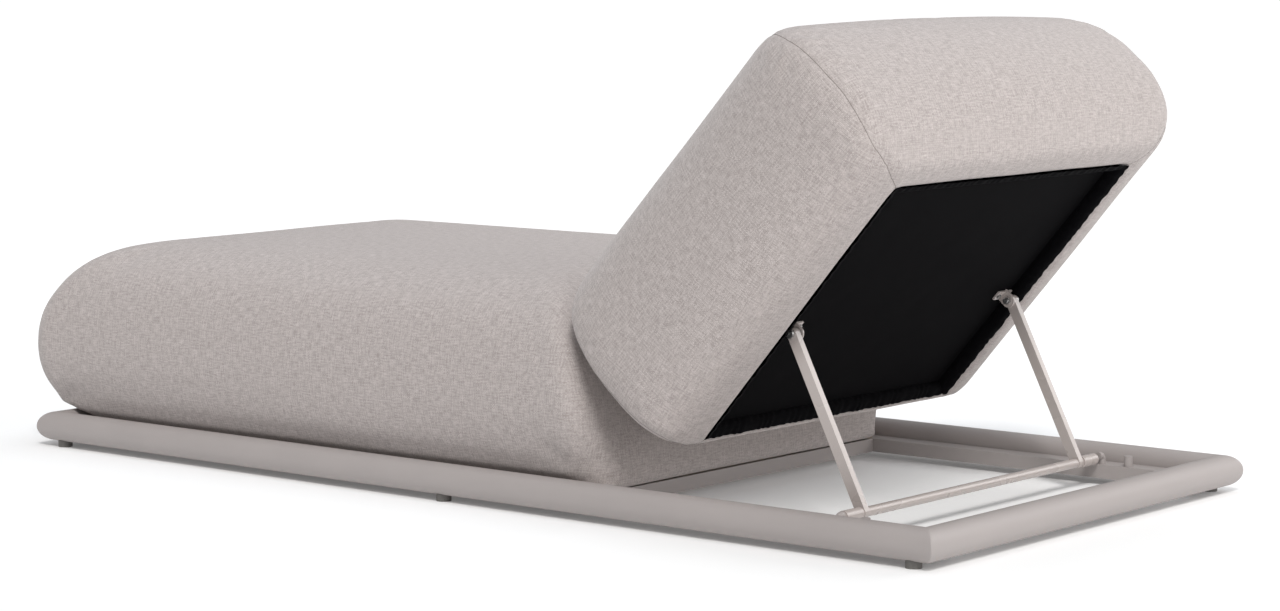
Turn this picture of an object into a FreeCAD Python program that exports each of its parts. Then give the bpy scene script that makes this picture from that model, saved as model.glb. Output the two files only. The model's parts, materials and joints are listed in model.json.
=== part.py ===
"""Sun lounger: a mitred tube frame, an upholstered seat and a backrest held up by a folding prop.

Frame of the part: +X towards the head end, +Y towards the left side, +Z up, floor at Z = 0.
All lengths are millimetres. The backrest is modelled raised, with the prop standing in its catches.
"""
import FreeCAD, Part
import math
import os
import re

Vector = FreeCAD.Vector

# Driving dimensions

SIZES = {
    # Tube frame
    "frame_length": 2000,
    "frame_width": 950,
    "tube_diameter": 54,
    "tube_wall": 2.5,
    "glide_height": 10,
    "glide_diameter": 26,
    "glide_stem_diameter": 9,
    "glide_stem_length": 14,
    "glide_end_distance": 50,
    "fit_gap": 0.05,
    # Ledges and cross rails inside the frame
    "ledge_reach": 40,
    "ledge_bottom": 12,
    "ledge_height": 24,
    "ledge_wall": 3,
    "cross_rail_width": 42,
    "cross_rail_wall": 2,
    "mid_rail_setback": 40,
    "waist_rail_setback": 617,
    "foot_rail_distance": 180,
    # Catches for the prop on the ledges
    "catch_distance": 5,
    "hook_diameter": 12,
    "hook_height": 21,
    "hook_bend": 8,
    "hook_overhang": 1,
    "hook_reach": 3,
    "peg_diameter": 15,
    "peg_height": 18,
    "peg_spacing": 52,
    # Seat
    "board_thickness": 12,
    "board_bearing": 14,
    "board_foot_gap": 26,
    "board_rear_gap": 12,
    "seat_side_inset": 8,
    "seat_hinge_gap": 25,
    "seat_foot_overhang": 26,
    "seat_top": 386,
    "seat_tube_gap": 11,
    "seat_lift": 2,
    "seat_corner": 50,
    "core_tube_margin": 49,
    "core_end_margin": 110,
    "core_top_margin": 80,
    # Hinge between the seat and the backrest
    "hinge_setback": 663,
    "hinge_level": 243,
    "hinge_side_inset": 90,
    "hinge_plate": 6,
    "hinge_eye_radius": 16,
    "hinge_upright": 50,
    "hinge_upright_distance": 70,
    "arm_upright_distance": 70,
    "hinge_foot_length": 100,
    "hinge_foot_width": 40,
    "hinge_pin_diameter": 12,
    "hinge_pin_end": 3,
    "hinge_washer": 2,
    "hinge_washer_diameter": 26,
    "hinge_swing_radius": 52,
    "soft_gap": 0.5,
    "running_gap": 0.1,
    # Backrest, measured along it and square to it from the lower edge of its underside opening
    "backrest_angle": 49.1,
    "opening_length": 552,
    "opening_side_margin": 132,
    "opening_lip": 8,
    "head_margin": 62,
    "hinge_along": -9.4,
    "hinge_depth": 177,
    "backrest_side_inset": 3,
    "backrest_core_margin": 95,
    "backrest_thickness": 310,
    "backrest_low_bulge": 28,
    "backrest_head_bulge": 122,
    "backrest_corner": 50,
    "front_taper_angle": 2.5,
    "cover_recess": 20,
    "cover_thickness": 2,
    "hem_width": 8,
    "hem_lift": 2,
    # Prop and its brackets
    "prop_length": 303,
    "prop_fold_overhang": 65,
    "prop_depth": 4,
    "strut_ledge_gap": 57,
    "strut_thickness": 12,
    "strut_width": 18,
    "crossbar_diameter": 16,
    "crossbar_end_gap": 5,
    "sleeve_diameter": 20,
    "sleeve_length": 44,
    "sleeve_inset": 4,
    "pivot_diameter": 8,
    "pivot_head_diameter": 14,
    "pivot_head_height": 6,
    "pivot_nut_height": 6,
    "pivot_washer": 3,
    "pivot_washer_diameter": 18,
    "bracket_plate": 3,
    "bracket_tab_width": 24,
    "bracket_flange_length": 46,
    "bracket_flange_width": 18,
    # Wood screws
    "screw_diameter": 5,
    "screw_head_diameter": 9.5,
    "screw_head_height": 3,
    "screw_grip": 9,
    "screw_spacing": 34,
    "cut_overrun": 5,
}

doc = FreeCAD.newDocument("sun_lounger")
sheet = doc.addObject("Spreadsheet::Sheet", "sizes")
for row, (alias, value) in enumerate(SIZES.items(), start=1):
    sheet.set(f"A{row}", alias)
    sheet.set(f"B{row}", str(value))
    sheet.setAlias(f"B{row}", alias)
doc.recompute()


def size(alias):
    """A driving dimension as the sheet holds it."""
    return float(sheet.get(alias))


# Lengths that several pieces share, as expressions in the sheet's names

SHARED = {
    "side_axis": "(frame_width - tube_diameter) / 2",
    "end_axis": "(frame_length - tube_diameter) / 2",
    "tube_radius": "tube_diameter / 2",
    "tube_axis": "(glide_height + tube_radius)",
    "ledge_inner": "(side_axis - tube_radius - ledge_reach)",
    "ledge_top": "(ledge_bottom + ledge_height)",
    "board_top": "(ledge_top + board_thickness)",
    "board_side": "(ledge_inner + board_bearing)",
    "hinge_place": "(frame_length / 2 - hinge_setback)",
    "hinge_inner": "(opening_half - hinge_side_inset)",
    "hinge_outer": "(hinge_inner + hinge_plate)",
    "arm_inner": "(hinge_outer + hinge_washer + 2 * running_gap)",
    "arm_outer": "(arm_inner + hinge_plate)",
    "panel_top": "(cover_recess + cover_thickness + board_thickness)",
    "strut_outer": "(ledge_inner - strut_ledge_gap)",
    "strut_inner": "(strut_outer - strut_thickness)",
    "tab_outer": "(strut_inner - pivot_washer - 2 * running_gap)",
    "tab_inner": "(tab_outer - bracket_plate)",
    "flange_bottom": "(cover_recess - bracket_plate)",
    "crossbar_end": "(ledge_inner - crossbar_end_gap)",
    "sleeve_outer": "(crossbar_end - sleeve_inset)",
    "hinge_screw_side": "(hinge_inner - hinge_foot_width / 2)",
    "arm_screw_side": "(arm_outer + hinge_foot_width / 2)",
    "upright_rear": "(hinge_place - hinge_upright_distance)",
    "upright_front": "(upright_rear - hinge_upright)",
    "bracket_foot_front": "(upright_rear - hinge_foot_length)",
    "arm_upright_low": "(hem_width + arm_upright_distance)",
    "arm_upright_high": "(arm_upright_low + hinge_upright)",
    "arm_foot_high": "(arm_upright_low + hinge_foot_length)",
    "seat_foot": "(-frame_length / 2 - seat_foot_overhang)",
    "seat_rear": "(hinge_place - seat_hinge_gap)",
    "seat_half": "(frame_width / 2 - seat_side_inset)",
    "seat_core_half": "(side_axis - tube_radius - core_tube_margin)",
    "backrest_half": "(frame_width / 2 - backrest_side_inset)",
    "backrest_core_half": "(backrest_half - backrest_core_margin)",
    "opening_half": "(backrest_half - opening_side_margin)",
    "mid_rail_rear": "(hinge_place - mid_rail_setback)",
    "waist_rail_rear": "(hinge_place - waist_rail_setback)",
    "foot_rail_rear": "(foot_rail_distance - frame_length / 2)",
    "prop_along": "(prop_length - prop_fold_overhang)",
    "nut_inner": "(tab_inner - pivot_nut_height)",
    "hook_radius": "hook_diameter / 2",
    "hook_level": "(ledge_top + hook_height - hook_radius)",
    "hook_side": "(ledge_inner + hook_reach + hook_bend)",
}
WORD = re.compile(r"[a-z]+(?:_[a-z]+)*")


def bound(text):
    """Turns names of sizes and shared lengths into references to the sheet."""
    def reference(match):
        word = match.group()
        if word in SHARED:
            return f"({bound(SHARED[word])})"
        return f"sizes.{word}" if word in SIZES else word
    return WORD.sub(reference, text)


def length(text):
    """The value of an expression in the sheet's names."""
    return float(sheet.evalExpression(bound(text)))


# Frames of the three bodies at rest

rest_angle = math.radians(size("backrest_angle"))
along = Vector(math.cos(rest_angle), 0, math.sin(rest_angle))
square = Vector(-math.sin(rest_angle), 0, math.cos(rest_angle))
centring = Vector(size("seat_foot_overhang") / 2, 0, 0)
hinge_point = Vector(length("hinge_place"), 0, size("hinge_level")) + centring
backrest_origin = hinge_point - along * size("hinge_along") - square * size("hinge_depth")
prop_pivot = backrest_origin + along * length("prop_along") + square * size("prop_depth")
crossbar_level = length("ledge_top + sleeve_diameter / 2")
prop_angle = math.degrees(math.asin((prop_pivot.z - crossbar_level) / size("prop_length")))
crossbar_place = prop_pivot.x + size("prop_length") * math.cos(math.radians(prop_angle))

ACROSS = Vector(0, 1, 0)
BASE = FreeCAD.Placement(centring, FreeCAD.Rotation())
BACKREST = FreeCAD.Placement(backrest_origin, FreeCAD.Rotation(ACROSS, -size("backrest_angle")))
PROP = FreeCAD.Placement(prop_pivot, FreeCAD.Rotation(ACROSS, prop_angle))
TURNS = {
    "x": FreeCAD.Rotation(ACROSS, 90),
    "y": FreeCAD.Rotation(Vector(1, 0, 0), -90),
    "z": FreeCAD.Rotation(),
}
SIDES = {"left": 1, "right": -1}
LOFT_DEGREE = 2

subparts = []


# Building blocks

def mirrored(span, side):
    """A span across the part, or the same span on the other side."""
    return span if side > 0 else (f"-({span[1]})", f"-({span[0]})")


def place(feature, corner):
    """Ties the feature's position to the sheet."""
    for axis_name, text in zip("xyz", corner):
        feature.setExpression(f".Placement.Base.{axis_name}", bound(text))
    return feature


def block(x_span, y_span, z_span, side=1):
    """A box between two places along each axis."""
    spans = (x_span, mirrored(y_span, side), z_span)
    feature = doc.addObject("Part::Box", "block")
    for property_name, (low, high) in zip(("Length", "Width", "Height"), spans):
        feature.setExpression(property_name, bound(f"({high}) - ({low})"))
    return place(feature, [low for low, high in spans])


def rod(axis, radius, span, centre, side=1):
    """A cylinder along one axis, with its centre given on the two other axes in order."""
    low, high = mirrored(span, side) if axis == "y" else span
    corner = list(centre)
    corner.insert("xyz".index(axis), low)
    if axis != "y" and side < 0:
        corner[1] = f"-({corner[1]})"
    feature = doc.addObject("Part::Cylinder", "rod")
    feature.setExpression("Radius", bound(radius))
    feature.setExpression("Height", bound(f"({high}) - ({low})"))
    feature.Placement = FreeCAD.Placement(Vector(), TURNS[axis])
    return place(feature, corner)


def joined(pieces):
    """One solid from overlapping pieces."""
    if len(pieces) == 1:
        return pieces[0]
    feature = doc.addObject("Part::MultiFuse", "joined")
    feature.Shapes = pieces
    feature.Refine = True
    return feature


def without(piece, tools):
    """The piece with each tool cut away from it."""
    for tool in tools:
        feature = doc.addObject("Part::Cut", "cut")
        feature.Base = piece
        feature.Tool = tool
        piece = feature
    return piece


def subpart(label, feature, frame):
    """Names a finished piece and puts it in its body's frame."""
    wrapped = doc.addObject("Part::Compound", label)
    wrapped.Links = feature if isinstance(feature, list) else [feature]
    wrapped.Label = label
    wrapped.Placement = frame
    subparts.append(wrapped)
    return wrapped


def rounded_wire(low, high, half_width, corner, at):
    """A rectangle with round corners, lying across the placement given."""
    near, far = -half_width, half_width
    slant = corner * (1 - math.sqrt(0.5))
    corners = (
        ((low, near + corner), (low + slant, near + slant), (low + corner, near)),
        ((high - corner, near), (high - slant, near + slant), (high, near + corner)),
        ((high, far - corner), (high - slant, far - slant), (high - corner, far)),
        ((low + corner, far), (low + slant, far - slant), (low, far - corner)),
    )
    edges = []
    for index, arc in enumerate(corners):
        points = [Vector(x, y, 0) for x, y in arc]
        following = Vector(*corners[(index + 1) % len(corners)][0], 0)
        edges.append(Part.Arc(*points).toShape())
        edges.append(Part.LineSegment(points[-1], following).toShape())
    wire = Part.Wire(edges)
    wire.Placement = at
    return wire


def formed(name, sections):
    """A soft form lofted through its sections."""
    feature = doc.addObject("Part::Feature", name)
    wires = [rounded_wire(*section) for section in sections]
    feature.Shape = Part.makeLoft(wires, True, False, False, LOFT_DEGREE)
    return feature


# Tube frame

def rail(label, length_text, place_at, turn, holes):
    """A round tube along X, mitred at both ends, with its long side towards -Y before it is turned."""
    span = (f"-({length_text}) / 2", f"({length_text}) / 2")
    outer = rod("x", "tube_radius", span, ("0", "0"))
    inner = rod("x", "tube_radius - tube_wall", span, ("0", "0"))
    mitre = doc.addObject("Part::Wedge", "mitre")
    limits = {
        "Xmin": span[0], "Xmax": span[1],
        "X2min": f"{span[0]} + tube_diameter", "X2max": f"{span[1]} - tube_diameter",
        "Ymin": "-tube_radius", "Ymax": "tube_radius",
        "Zmin": "-tube_diameter", "Zmax": "tube_diameter",
        "Z2min": "-tube_diameter", "Z2max": "tube_diameter",
    }
    for property_name, text in limits.items():
        mitre.setExpression(property_name, bound(text))
    tube = doc.addObject("Part::Common", "mitred")
    tube.Base = without(outer, [inner])
    tube.Tool = mitre
    frame = BASE * FreeCAD.Placement(place_at, FreeCAD.Rotation(Vector(0, 0, 1), turn))
    subpart(label, without(tube, holes), frame)


def side_tube_space(side):
    """The room that one side rail takes up."""
    return rod("x", "tube_radius", ("-frame_length / 2", "frame_length / 2"),
               ("side_axis", "tube_axis"), side)


def end_tube_space(place_text):
    """The room that the head rail or the foot rail takes up."""
    return rod("y", "tube_radius", ("-frame_width / 2", "frame_width / 2"), (place_text, "tube_axis"))


GLIDES = {"foot": "-(frame_length / 2 - glide_end_distance)", "middle": "0",
          "head": "frame_length / 2 - glide_end_distance"}
tube_level = length("tube_axis")
for side_name, side in SIDES.items():
    hole_span = ("-tube_radius - cut_overrun", "0")
    stem_holes = [rod("z", "glide_stem_diameter / 2 + fit_gap", hole_span, (text, "0"))
                  for text in GLIDES.values()]
    rail(f"side_rail_{side_name}", "frame_length", Vector(0, side * length("side_axis"), tube_level),
         180 if side > 0 else 0, stem_holes)
rail("head_rail", "frame_width", Vector(length("end_axis"), 0, tube_level), 90, [])
rail("foot_rail", "frame_width", Vector(-length("end_axis"), 0, tube_level), -90, [])

for end_name, place_text in GLIDES.items():
    for side_name, side in SIDES.items():
        centre = (place_text, "side_axis")
        pad = rod("z", "glide_diameter / 2", ("0", "glide_height + glide_stem_diameter / 2"), centre, side)
        tube_room = side_tube_space(side)
        stem = rod("z", "glide_stem_diameter / 2", ("glide_height / 2", "glide_height + glide_stem_length"),
                   centre, side)
        subpart(f"glide_{end_name}_{side_name}", joined([without(pad, [tube_room]), stem]), BASE)


# Ledges and cross rails

for side_name, side in SIDES.items():
    run = ("-end_axis", "end_axis")
    flange = block(run, ("ledge_inner", "side_axis"), ("ledge_top - ledge_wall", "ledge_top"), side)
    web = block(run, ("ledge_inner", "ledge_inner + ledge_wall"), ("ledge_bottom", "ledge_top"), side)
    tubes = [side_tube_space(side), end_tube_space("end_axis"), end_tube_space("-end_axis")]
    subpart(f"ledge_{side_name}", without(joined([flange, web]), tubes), BASE)

CROSS_RAILS = {"mid_cross_rail": "mid_rail_rear", "waist_cross_rail": "waist_rail_rear",
               "foot_cross_rail": "foot_rail_rear"}
BOARD_SCREW_SIDE_SHARE = 0.8
board_screw_side = f"{BOARD_SCREW_SIDE_SHARE} * ledge_inner"
board_screws = []
board_holes = []
for label, rear in CROSS_RAILS.items():
    across = ("-ledge_inner", "ledge_inner")
    outer = block((f"{rear} - cross_rail_width", rear), across, ("ledge_bottom", "ledge_top"))
    inner = block((f"{rear} - cross_rail_width + cross_rail_wall", f"{rear} - cross_rail_wall"), across,
                  ("ledge_bottom + cross_rail_wall", "ledge_top - cross_rail_wall"))
    rail_holes = []
    for side in SIDES.values():
        centre = (f"{rear} - cross_rail_width / 2", board_screw_side)
        head_span = ("board_top - screw_head_height", "board_top")
        shank_span = ("ledge_top - screw_grip", "board_top - screw_head_height / 2")
        head = rod("z", "screw_head_diameter / 2", head_span, centre, side)
        shank = rod("z", "screw_diameter / 2", shank_span, centre, side)
        board_screws.append(joined([head, shank]))
        head_hole = rod("z", "screw_head_diameter / 2 + fit_gap",
                        (head_span[0], "board_top + cut_overrun"), centre, side)
        shank_hole = rod("z", "screw_diameter / 2 + fit_gap", (shank_span[0], "board_top"), centre, side)
        board_holes += [head_hole, shank_hole]
        rail_holes.append(shank_hole)
    subpart(label, without(outer, [inner] + rail_holes), BASE)
subpart("seat_board_screws", board_screws, BASE)


# Catches: a bent pin beside each end of the crossbar, and a peg for the next position

CATCHES = FreeCAD.Placement(Vector(crossbar_place, 0, 0), FreeCAD.Rotation())
for side_name, side in SIDES.items():
    arm_span = ("ledge_inner - hook_overhang", "ledge_inner + hook_reach")
    arm = rod("y", "hook_radius", arm_span, ("catch_distance", "hook_level"), side)
    leg = rod("z", "hook_radius", ("ledge_top", "hook_level - hook_bend"),
              ("catch_distance", "hook_side"), side)
    elbow = doc.addObject("Part::Torus", "elbow")
    elbow.setExpression("Radius1", bound("hook_bend"))
    elbow.setExpression("Radius2", bound("hook_radius"))
    elbow.Angle3 = 90
    turn = FreeCAD.Rotation(Vector(0, 0, 1), 90 * side) * FreeCAD.Rotation(Vector(1, 0, 0), 90)
    elbow.Placement = FreeCAD.Placement(Vector(), turn)
    elbow_side = mirrored((arm_span[1], arm_span[1]), side)[0]
    place(elbow, ("catch_distance", elbow_side, "hook_level - hook_bend"))
    subpart(f"catch_hook_{side_name}", joined([arm, elbow, leg]), CATCHES)
    peg = rod("z", "peg_diameter / 2", ("ledge_top", "ledge_top + peg_height"),
              ("catch_distance + peg_spacing", "hook_side"), side)
    subpart(f"catch_peg_{side_name}", peg, CATCHES)


# Seat: board, foam core and the soft wrap round them

board_span = ("-(end_axis - tube_radius - board_foot_gap)", "mid_rail_rear - board_rear_gap")
board = block(board_span, ("-board_side", "board_side"), ("ledge_top", "board_top"))

# Each row: height above the tube, then how far foot, rear and sides draw in
SEAT_SHARES = (
    (0.140, 0.039, 0.002, 0.024),
    (0.390, 0.000, 0.028, 0.000),
    (0.605, 0.018, 0.070, 0.010),
    (0.790, 0.092, 0.140, 0.055),
    (0.890, 0.185, 0.200, 0.125),
    (0.955, 0.340, 0.290, 0.250),
    (1.000, 0.700, 0.520, 0.540),
)
SEAT_FOOTING_SHARES = (0.0, 0.5, 1.0)
SEAT_REAR_DRAW_SHARES = (0.015, 0.004, 0.0)


def seat_sections():
    """The seat from its footing inside the tubes up to its crown."""
    radius = length("tube_radius")
    tube_top = length("tube_axis + tube_radius")
    footing = length("ledge_top") + size("seat_lift")
    half_width = length("seat_half")
    foot = length("seat_foot")
    rear = length("seat_rear")
    corner = size("seat_corner")
    sections = []
    for share, rear_draw in zip(SEAT_FOOTING_SHARES, SEAT_REAR_DRAW_SHARES):
        level = footing + share * (tube_top - footing)
        tube_reach = math.sqrt(max(0.0, radius ** 2 - (level - length("tube_axis")) ** 2))
        clear = tube_reach + size("seat_tube_gap")
        sections.append((clear - length("end_axis"), rear - rear_draw * half_width,
                         length("side_axis") - clear, corner * (1 + share) / 2, level))
    for height, foot_draw, rear_draw, side_draw in SEAT_SHARES:
        level = tube_top + height * (size("seat_top") - tube_top)
        sections.append((foot + foot_draw * half_width, rear - rear_draw * half_width,
                         half_width * (1 - side_draw), corner, level))
    return [(low, high, half, radius, FreeCAD.Placement(Vector(0, 0, level), FreeCAD.Rotation()))
            for low, high, half, radius, level in sections]


core = block(("seat_foot + core_end_margin", "seat_rear - core_end_margin"),
             ("-seat_core_half", "seat_core_half"), ("board_top", "seat_top - core_top_margin"))


def hinge_rooms():
    """The slots in the seat that the hinge brackets stand in."""
    rooms = []
    for side in SIDES.values():
        plate_span = ("hinge_inner - soft_gap", "hinge_outer + soft_gap")
        rooms.append(block(("upright_front - soft_gap", "upright_rear + soft_gap"), plate_span,
                           ("board_top - cut_overrun", "hinge_level + hinge_eye_radius + soft_gap"), side))
        rooms.append(block(("upright_front - soft_gap", "hinge_place + cut_overrun"), plate_span,
                           ("hinge_level - hinge_eye_radius - soft_gap",
                            "hinge_level + hinge_eye_radius + soft_gap"), side))
        rooms.append(block(("bracket_foot_front - soft_gap", "upright_rear + soft_gap"),
                           ("hinge_inner - hinge_foot_width - soft_gap", "hinge_outer + soft_gap"),
                           ("board_top - cut_overrun",
                            "board_top + hinge_plate + screw_head_height + soft_gap"), side))
    return rooms


bracket_screws = []
for side_name, side in SIDES.items():
    eye_centre = ("hinge_place", "hinge_level")
    plate_span = ("hinge_inner", "hinge_outer")
    upright = block(("upright_front", "upright_rear"), plate_span,
                    ("board_top", "hinge_level + hinge_eye_radius"), side)
    tongue = block(("upright_front", "hinge_place"), plate_span,
                   ("hinge_level - hinge_eye_radius", "hinge_level + hinge_eye_radius"), side)
    eye = rod("y", "hinge_eye_radius", plate_span, eye_centre, side)
    foot = block(("bracket_foot_front", "upright_rear"), ("hinge_inner - hinge_foot_width", "hinge_outer"),
                 ("board_top", "board_top + hinge_plate"), side)
    pin_hole = rod("y", "hinge_pin_diameter / 2 + fit_gap",
                   ("hinge_inner - cut_overrun", "hinge_outer + cut_overrun"), eye_centre, side)
    holes = [pin_hole]
    for offset in ("-screw_spacing / 2", "screw_spacing / 2"):
        centre = (f"(bracket_foot_front + upright_rear) / 2 + {offset}", "hinge_screw_side")
        head = rod("z", "screw_head_diameter / 2",
                   ("board_top + hinge_plate", "board_top + hinge_plate + screw_head_height"), centre, side)
        shank_span = ("board_top - screw_grip", "board_top + hinge_plate + screw_head_height / 2")
        shank = rod("z", "screw_diameter / 2", shank_span, centre, side)
        bracket_screws.append(joined([head, shank]))
        hole = rod("z", "screw_diameter / 2 + fit_gap", shank_span, centre, side)
        holes.append(hole)
        board_holes.append(hole)
    subpart(f"hinge_bracket_{side_name}", without(joined([upright, tongue, eye, foot]), holes), BASE)
    pin_span = ("hinge_inner - hinge_pin_end", "arm_outer + hinge_pin_end")
    subpart(f"hinge_pin_{side_name}", rod("y", "hinge_pin_diameter / 2", pin_span, eye_centre, side), BASE)
subpart("hinge_bracket_screws", bracket_screws, BASE)

subpart("seat_board", without(board, board_holes), BASE)
seat_form = formed("seat_form", seat_sections())
board_room = block((f"{board_span[0]} - soft_gap", f"{board_span[1]} + soft_gap"),
                   ("-board_side - soft_gap", "board_side + soft_gap"), ("0", "board_top"))
subpart("seat_foam_core", without(core, hinge_rooms()), BASE)
subpart("seat_cushion", without(seat_form, [core, board_room] + hinge_rooms()), BASE)


# Backrest: opening with the black cloth, board, foam core and the soft wrap

# Each row: depth, then how far the lower end, the head end and the sides draw in
BACKREST_SHARES = (
    (0.050, 0.026, 0.060, 0.140),
    (0.140, 0.012, 0.022, 0.060),
    (0.300, 0.000, 0.000, 0.011),
    (0.500, 0.000, 0.004, 0.000),
    (0.680, 0.013, 0.017, 0.011),
    (0.820, 0.043, 0.030, 0.047),
    (0.910, 0.090, 0.060, 0.106),
    (0.965, 0.160, 0.110, 0.190),
    (1.000, 0.330, 0.240, 0.370),
)


def backrest_sections():
    """The backrest from the rim of its opening to its crowned front, whose face leans in to the head."""
    half_width = length("backrest_half")
    low = -size("backrest_low_bulge")
    high = size("opening_length") + size("backrest_head_bulge")
    middle = (low + high) / 2
    corner = size("backrest_corner")
    lip = size("opening_lip")
    rim_high = size("opening_length") + size("head_margin")
    rows = [(0.0, -lip, rim_high, length("opening_half") + lip, corner / 2)]
    for depth, low_draw, head_draw, side_draw in BACKREST_SHARES:
        rows.append((depth, low + low_draw * half_width, high - head_draw * half_width,
                     half_width * (1 - side_draw), corner))
    sections = []
    for depth, start, stop, half, radius in rows:
        tilt = FreeCAD.Rotation(ACROSS, depth * size("front_taper_angle"))
        at = FreeCAD.Placement(Vector(middle, 0, depth * size("backrest_thickness")), tilt)
        sections.append((start - middle, stop - middle, half, radius, at))
    return sections


opening = block(("0", "opening_length"), ("-opening_half", "opening_half"), ("-cut_overrun", "panel_top"))
panel_span = ("-(opening_half - soft_gap)", "opening_half - soft_gap")
panel_run = ("soft_gap", "opening_length - soft_gap")
cover = block(panel_run, panel_span, ("cover_recess", "cover_recess + cover_thickness"))
panel = block(panel_run, panel_span, ("cover_recess + cover_thickness", "panel_top"))
hem = without(block(panel_run, panel_span, ("hem_lift", "cover_recess")),
              [block(("hem_width", "opening_length - hem_width"),
                     ("-(opening_half - hem_width)", "opening_half - hem_width"),
                     ("0", "cover_recess + cut_overrun"))])
subpart("backrest_hem", hem, BACKREST)

back_core = block(("core_end_margin", "opening_length - core_end_margin / 2"),
                  ("-backrest_core_half", "backrest_core_half"),
                  ("panel_top", "backrest_thickness - core_top_margin"))


def arm_rooms():
    """The slots in the backrest that the hinge arms lie in, and the room their brackets swing through."""
    rooms = []
    for side in SIDES.values():
        rooms.append(rod("y", "hinge_swing_radius", ("hinge_inner - hinge_pin_end - soft_gap", "arm_inner"),
                         ("hinge_along", "hinge_depth"), side))
        plate_span = ("arm_inner - soft_gap", "arm_outer + soft_gap")
        eye_span = ("arm_inner - soft_gap", "arm_outer + hinge_pin_end + soft_gap")
        rooms.append(rod("y", "hinge_eye_radius + soft_gap", eye_span, ("hinge_along", "hinge_depth"), side))
        rooms.append(block(("hinge_along", "arm_upright_high + soft_gap"), plate_span,
                           ("hinge_depth - hinge_eye_radius - soft_gap",
                            "hinge_depth + hinge_eye_radius + soft_gap"), side))
        rooms.append(block(("arm_upright_low - soft_gap", "arm_upright_high + soft_gap"), plate_span,
                           ("panel_top", "hinge_depth + hinge_eye_radius + soft_gap"), side))
        rooms.append(block(("arm_upright_low - soft_gap", "arm_foot_high + soft_gap"),
                           ("arm_inner - soft_gap", "arm_outer + hinge_foot_width + soft_gap"),
                           ("panel_top", "panel_top + hinge_plate + screw_head_height + soft_gap"), side))
    return rooms


panel_holes = []
arm_screws = []
for side_name, side in SIDES.items():
    eye_centre = ("hinge_along", "hinge_depth")
    plate_span = ("arm_inner", "arm_outer")
    tongue = block(("hinge_along", "arm_upright_high"), plate_span,
                   ("hinge_depth - hinge_eye_radius", "hinge_depth + hinge_eye_radius"), side)
    upright = block(("arm_upright_low", "arm_upright_high"), plate_span,
                    ("panel_top", "hinge_depth + hinge_eye_radius"), side)
    eye = rod("y", "hinge_eye_radius", plate_span, eye_centre, side)
    foot = block(("arm_upright_low", "arm_foot_high"), ("arm_inner", "arm_outer + hinge_foot_width"),
                 ("panel_top", "panel_top + hinge_plate"), side)
    holes = [rod("y", "hinge_pin_diameter / 2 + running_gap / 2",
                 ("arm_inner - cut_overrun", "arm_outer + cut_overrun"), eye_centre, side)]
    for offset in ("-screw_spacing / 2", "screw_spacing / 2"):
        centre = (f"(arm_upright_low + arm_foot_high) / 2 + {offset}", "arm_screw_side")
        head = rod("z", "screw_head_diameter / 2",
                   ("panel_top + hinge_plate", "panel_top + hinge_plate + screw_head_height"), centre, side)
        shank_span = ("panel_top - screw_grip", "panel_top + hinge_plate + screw_head_height / 2")
        shank = rod("z", "screw_diameter / 2", shank_span, centre, side)
        arm_screws.append(joined([head, shank]))
        hole = rod("z", "screw_diameter / 2 + fit_gap", shank_span, centre, side)
        holes.append(hole)
        panel_holes.append(hole)
    subpart(f"hinge_arm_{side_name}", without(joined([tongue, upright, eye, foot]), holes), BACKREST)
    washer_span = ("hinge_outer + running_gap", "arm_inner - running_gap")
    washer = without(rod("y", "hinge_washer_diameter / 2", washer_span, eye_centre, side),
                     [rod("y", "hinge_pin_diameter / 2 + running_gap / 2",
                          ("hinge_outer - cut_overrun", "arm_inner + cut_overrun"), eye_centre, side)])
    subpart(f"hinge_washer_{side_name}", washer, BACKREST)
subpart("hinge_arm_screws", arm_screws, BACKREST)


# Prop brackets on the underside, with their pivot bolts

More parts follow.
